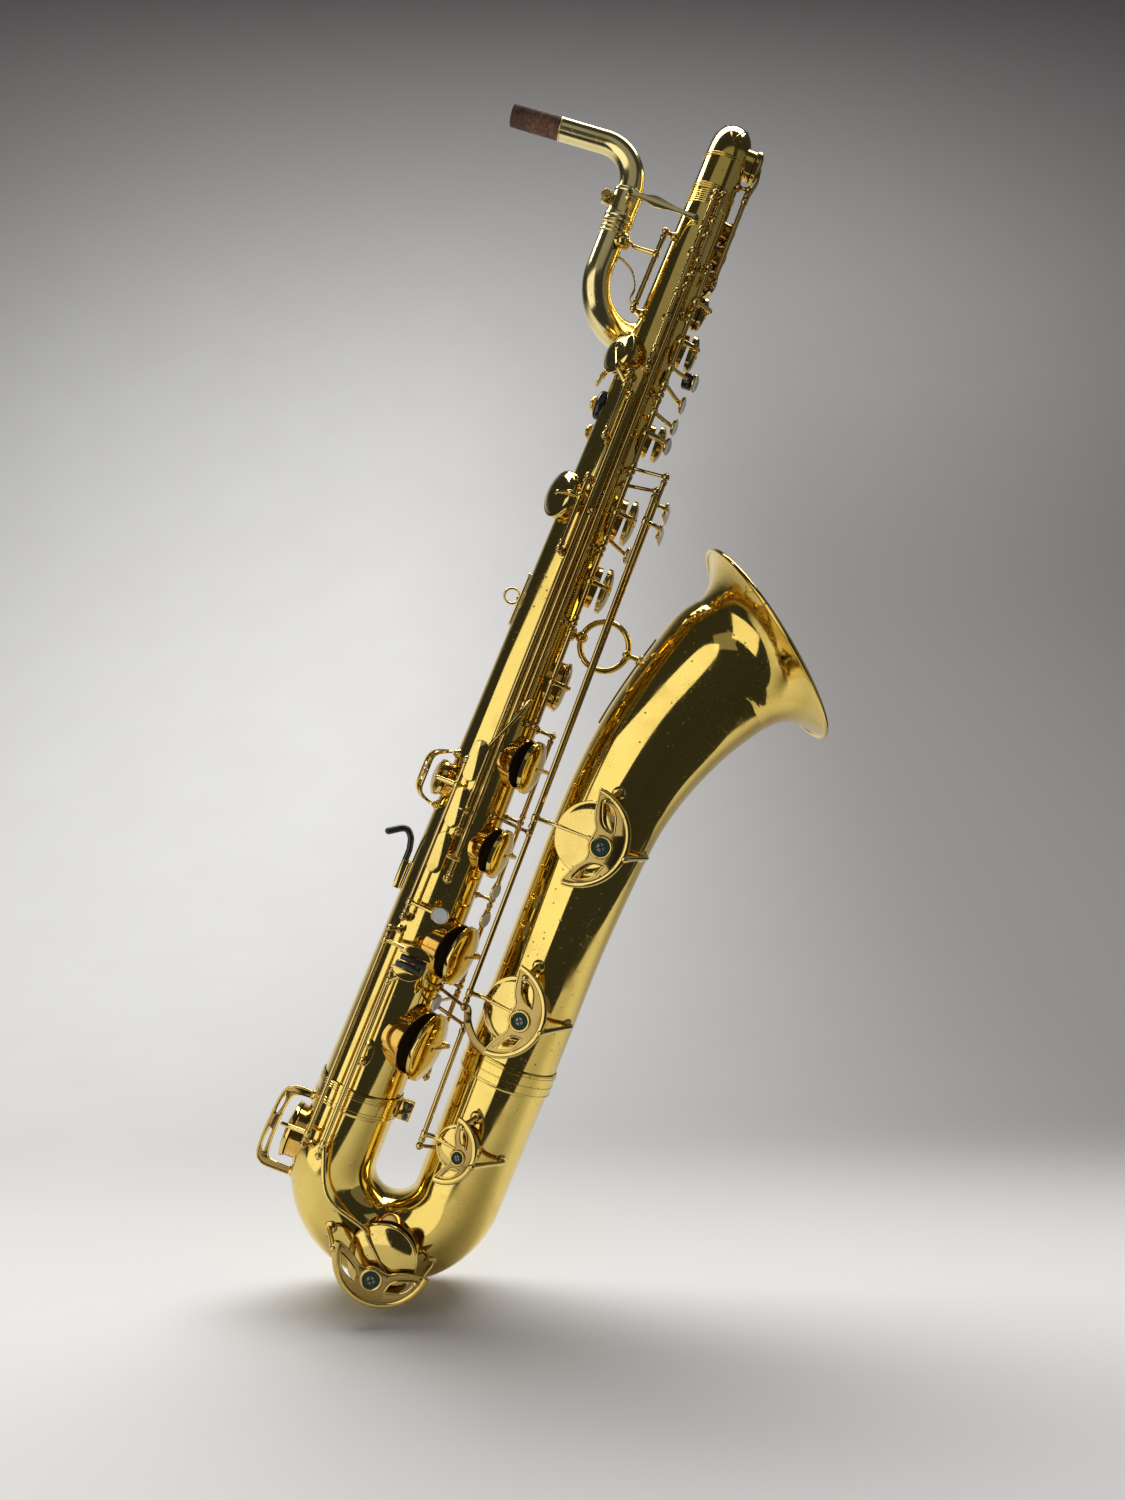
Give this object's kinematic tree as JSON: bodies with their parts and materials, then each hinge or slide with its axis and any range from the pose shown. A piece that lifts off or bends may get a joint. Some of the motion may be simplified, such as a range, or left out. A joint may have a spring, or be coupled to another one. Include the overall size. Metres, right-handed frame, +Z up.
{
  "type": "baritone saxophone",
  "caption": "Lacquered brass baritone saxophone with a looped upper crook, corked neck, upturned flaring bell and hinged, sprung keywork on posts; it hangs from a strap ring.",
  "frame": {"origin": "middle of the strap ring's loop, where the instrument hangs", "axes": "+Z up along the body tube, +X towards the bell, +Y away from the side with the right-hand keys"},
  "size_m": [0.4254, 0.179, 0.9916],
  "materials": {
    "brass": "clear lacquer over polished brass, worn and spotted",
    "aged_brass": "bare brass gone dull",
    "cork": "greased cork sleeve",
    "black_resin": "polished black",
    "felt": "dark green felt"
  },
  "bodies": {
    "body": {"bell": "brass", "bell_bow_ferrule": "brass", "bell_brace": "brass", "body_bow_ferrule": "brass", "body_tube": "brass", "bow": "brass", "bumper_low_b": "felt", "bumper_low_b_flat": "felt", "bumper_low_c": "felt", "bumper_low_c_sharp": "felt", "guard_low_b": "brass", "guard_low_b_flat": "brass", "guard_low_c": "brass", "guard_low_c_sharp": "brass", "guard_low_e_flat": "brass", "guard_trill": "brass", "neck_brace": "brass", "neck_receiver": "brass", "pigtail": "brass", "strap_ring": "brass", "thumb_hook_plate": "brass", "thumb_rest": "black_resin", "upper_bow": "brass"},
    "key_a": {"key_a": "brass"},
    "key_b": {"key_b": "brass"},
    "key_c": {"key_c": "brass"},
    "key_d": {"key_d": "brass"},
    "key_e": {"key_e": "brass"},
    "key_f": {"key_f": "brass"},
    "key_f_sharp": {"key_f_sharp": "brass"},
    "key_front_f": {"key_front_f": "brass"},
    "key_g": {"key_g": "brass"},
    "key_g_sharp": {"key_g_sharp": "brass"},
    "key_high_e": {"key_high_e": "brass"},
    "key_low_b": {"key_low_b": "brass"},
    "key_low_b_flat": {"key_low_b_flat": "brass"},
    "key_low_c": {"key_low_c": "brass"},
    "key_low_c_sharp": {"key_low_c_sharp": "brass"},
    "key_low_e_flat": {"key_low_e_flat": "brass"},
    "key_octave_vent": {"key_octave_vent": "brass"},
    "key_palm_d": {"key_palm_d": "brass"},
    "key_palm_e_flat": {"key_palm_e_flat": "brass"},
    "key_palm_f": {"key_palm_f": "brass"},
    "key_side_b_flat": {"key_side_b_flat": "brass"},
    "key_side_c": {"key_side_c": "brass"},
    "key_trill": {"key_trill": "brass"},
    "lever_high_e": {"lever_high_e": "brass"},
    "lever_side_b_flat": {"lever_side_b_flat": "brass"},
    "lever_side_c": {"lever_side_c": "brass"},
    "octave_lever": {"octave_lever": "brass"},
    "roller_low_e_flat": {"roller_low_e_flat": "black_resin"},
    "roller_low_c": {"roller_low_c": "black_resin"},
    "neck": {"neck": "brass", "neck_cork": "cork"},
    "neck_clamp_screw": {"neck_clamp_screw": "aged_brass"},
    "thumb_hook": {"thumb_hook": "black_resin"}
  },
  "joints": [
    {"name": "key_a_hinge", "type": "hinge", "parent": "body", "child": "key_a", "pos_m": [0.05502, -0.02464, 0.09033], "axis": [0.0134, -0.0149, -0.9998], "range_deg": [-11, 0], "stiffness_Nm_per_rad": 0.3, "springref_deg": 14.32},
    {"name": "key_b_hinge", "type": "hinge", "parent": "body", "child": "key_b", "pos_m": [0.05409, -0.02361, 0.15932], "axis": [0.0134, -0.0149, -0.9998], "range_deg": [-11, 0], "stiffness_Nm_per_rad": 0.3, "springref_deg": 14.32},
    {"name": "key_c_hinge", "type": "hinge", "parent": "body", "child": "key_c", "pos_m": [0.05303, -0.02244, 0.2378], "axis": [0.0134, -0.0149, -0.9998], "range_deg": [-11, 0], "stiffness_Nm_per_rad": 0.3, "springref_deg": 14.32},
    {"name": "key_d_hinge", "type": "hinge", "parent": "body", "child": "key_d", "pos_m": [0.07841, 0.00804, -0.36363], "axis": [-0.0198, -0.0035, 0.9998], "range_deg": [-11, 0], "stiffness_Nm_per_rad": 0.3, "springref_deg": 14.32},
    {"name": "key_e_hinge", "type": "hinge", "parent": "body", "child": "key_e", "pos_m": [0.07687, 0.00777, -0.28563], "axis": [-0.0198, -0.0035, 0.9998], "range_deg": [-11, 0], "stiffness_Nm_per_rad": 0.3, "springref_deg": 14.32},
    {"name": "key_f_hinge", "type": "hinge", "parent": "body", "child": "key_f", "pos_m": [0.07514, 0.00746, -0.19867], "axis": [-0.0198, -0.0035, 0.9998], "range_deg": [-11, 0], "stiffness_Nm_per_rad": 0.3, "springref_deg": 14.32},
    {"name": "key_f_sharp_hinge", "type": "hinge", "parent": "body", "child": "key_f_sharp", "pos_m": [0.07368, 0.0072, -0.12467], "axis": [-0.0198, -0.0035, 0.9998], "range_deg": [-11, 0], "stiffness_Nm_per_rad": 0.3, "springref_deg": 14.32},
    {"name": "key_front_f_hinge", "type": "hinge", "parent": "body", "child": "key_front_f", "pos_m": [0.05257, -0.02193, 0.2718], "axis": [0.0134, -0.0149, -0.9998], "range_deg": [0, 9], "stiffness_Nm_per_rad": 0.3, "springref_deg": -14.32},
    {"name": "key_g_hinge", "type": "hinge", "parent": "body", "child": "key_g", "pos_m": [0.05581, -0.02552, 0.03134], "axis": [0.0134, -0.0149, -0.9998], "range_deg": [-11, 0], "stiffness_Nm_per_rad": 0.3, "springref_deg": 14.32},
    {"name": "key_g_sharp_hinge", "type": "hinge", "parent": "body", "child": "key_g_sharp", "pos_m": [0.05697, -0.02681, -0.05469], "axis": [0.0134, -0.0149, -0.9998], "range_deg": [0, 9], "stiffness_Nm_per_rad": 0.3, "springref_deg": -14.32},
    {"name": "key_high_e_hinge", "type": "hinge", "parent": "body", "child": "key_high_e", "pos_m": [0.0591, -0.0075, 0.3673], "axis": [0.0073, 0, -1], "range_deg": [0, 9], "stiffness_Nm_per_rad": 0.3, "springref_deg": -14.32},
    {"name": "key_low_b_hinge", "type": "hinge", "parent": "body", "child": "key_low_b", "pos_m": [0.0867, -0.04152, -0.3064], "axis": [0.0111, -0.0412, -0.9991], "range_deg": [-7.97, 0], "stiffness_Nm_per_rad": 0.8, "springref_deg": 14.32},
    {"name": "key_low_b_flat_hinge", "type": "hinge", "parent": "body", "child": "key_low_b_flat", "pos_m": [0.08408, -0.04647, -0.15927], "axis": [0.0191, -0.0418, -0.9989], "range_deg": [-7.96, 0], "stiffness_Nm_per_rad": 0.8, "springref_deg": 14.32},
    {"name": "key_low_c_hinge", "type": "hinge", "parent": "body", "child": "key_low_c", "pos_m": [0.02365, -0.04391, -0.4583], "axis": [-0.0025, -0.0096, -1], "range_deg": [-7, 0], "stiffness_Nm_per_rad": 0.8, "springref_deg": 14.32},
    {"name": "key_low_c_sharp_hinge", "type": "hinge", "parent": "body", "child": "key_low_c_sharp", "pos_m": [0.09413, -0.04, -0.4233], "axis": [0.0198, 0, -0.9998], "range_deg": [0, 9], "stiffness_Nm_per_rad": 0.5, "springref_deg": -14.32},
    {"name": "key_low_e_flat_hinge", "type": "hinge", "parent": "body", "child": "key_low_e_flat", "pos_m": [0.00859, -0.03712, -0.4573], "axis": [0.006, 0.0087, 0.9999], "range_deg": [0, 7], "stiffness_Nm_per_rad": 0.6, "springref_deg": -14.32},
    {"name": "key_octave_vent_hinge", "type": "hinge", "parent": "body", "child": "key_octave_vent", "pos_m": [0.00814, -0.01204, 0.29898], "axis": [0.0181, 0.0088, 0.9998], "range_deg": [0, 9], "stiffness_Nm_per_rad": 0.3, "springref_deg": -14.32},
    {"name": "key_palm_d_hinge", "type": "hinge", "parent": "body", "child": "key_palm_d", "pos_m": [0.04445, 0.02013, 0.2953], "axis": [-0.01, -0.0174, 0.9998], "range_deg": [0, 9], "stiffness_Nm_per_rad": 0.3, "springref_deg": -14.32},
    {"name": "key_palm_e_flat_hinge", "type": "hinge", "parent": "body", "child": "key_palm_e_flat", "pos_m": [0.03756, 0.02226, 0.3193], "axis": [-0.0042, -0.0197, 0.9998], "range_deg": [0, 9], "stiffness_Nm_per_rad": 0.3, "springref_deg": -14.32},
    {"name": "key_palm_f_hinge", "type": "hinge", "parent": "body", "child": "key_palm_f", "pos_m": [0.0305, 0.02217, 0.3423], "axis": [0.0021, -0.02, 0.9998], "range_deg": [0, 9], "stiffness_Nm_per_rad": 0.3, "springref_deg": -14.32},
    {"name": "key_side_b_flat_hinge", "type": "hinge", "parent": "body", "child": "key_side_b_flat", "pos_m": [0.02432, -0.03414, 0.08929], "axis": [0.0049, 0.0195, 0.9998], "range_deg": [0, 9], "stiffness_Nm_per_rad": 0.3, "springref_deg": -14.32},
    {"name": "key_side_c_hinge", "type": "hinge", "parent": "body", "child": "key_side_c", "pos_m": [0.02479, -0.03225, 0.1863], "axis": [0.0049, 0.0195, 0.9998], "range_deg": [0, 9], "stiffness_Nm_per_rad": 0.3, "springref_deg": -14.32},
    {"name": "key_trill_hinge", "type": "hinge", "parent": "body", "child": "key_trill", "pos_m": [0.01712, -0.03368, -0.15872], "axis": [0.0085, 0.0182, 0.9998], "range_deg": [0, 9], "stiffness_Nm_per_rad": 0.3, "springref_deg": -14.32},
    {"name": "lever_high_e_hinge", "type": "hinge", "parent": "body", "child": "lever_high_e", "pos_m": [0.0432, -0.03193, -0.0793], "axis": [0.0062, -0.0191, -0.9998], "range_deg": [0, 7], "stiffness_Nm_per_rad": 0.3, "springref_deg": -14.32},
    {"name": "lever_side_b_flat_hinge", "type": "hinge", "parent": "body", "child": "lever_side_b_flat", "pos_m": [0.03818, -0.03584, -0.21217], "axis": [0.003, -0.0199, -0.9998], "range_deg": [0, 7], "stiffness_Nm_per_rad": 0.3, "springref_deg": -14.32},
    {"name": "lever_side_c_hinge", "type": "hinge", "parent": "body", "child": "lever_side_c", "pos_m": [0.03159, -0.03546, -0.17423], "axis": [-0.0007, -0.0201, -0.9998], "range_deg": [0, 7], "stiffness_Nm_per_rad": 0.3, "springref_deg": -14.32},
    {"name": "octave_lever_hinge", "type": "hinge", "parent": "body", "child": "octave_lever", "pos_m": [0.00483, 0.0112, 0.209], "axis": [0, -1, 0], "range_deg": [0, 6], "stiffness_Nm_per_rad": 0.3, "springref_deg": -14.32},
    {"name": "roller_low_e_flat_spin", "type": "hinge", "parent": "key_low_e_flat", "child": "roller_low_e_flat", "pos_m": [0.03733, -0.056, -0.2963], "axis": [1, 0, 0], "continuous": true},
    {"name": "roller_low_c_spin", "type": "hinge", "parent": "key_low_c", "child": "roller_low_c", "pos_m": [0.03557, -0.05752, -0.30168], "axis": [0.9925, -0.1219, 0.0012], "continuous": true},
    {"name": "neck_turn", "type": "hinge", "parent": "body", "child": "neck", "pos_m": [-0.03157, 0, 0.323], "axis": [0, 0, 1], "range_deg": [-30, 30]},
    {"name": "neck_clamp_screw_turn", "type": "hinge", "parent": "body", "child": "neck_clamp_screw", "pos_m": [-0.04807, 0, 0.3328], "axis": [0, -1, 0], "continuous": true},
    {"name": "thumb_hook_slide", "type": "slide", "parent": "body", "child": "thumb_hook", "axis": [0, 0, 1], "range_m": [-0.004, 0.004]}
  ],
  "couplings": [
    {"joint": "key_side_b_flat_hinge", "follows": "lever_side_b_flat_hinge", "ratio": 1.2857},
    {"joint": "key_side_c_hinge", "follows": "lever_side_c_hinge", "ratio": 1.2857},
    {"joint": "key_high_e_hinge", "follows": "lever_high_e_hinge", "ratio": 1.2857},
    {"joint": "key_octave_vent_hinge", "follows": "octave_lever_hinge", "ratio": 1.5},
    {"joint": "key_f_sharp_hinge", "follows": "key_f_hinge", "ratio": 1}
  ]
}
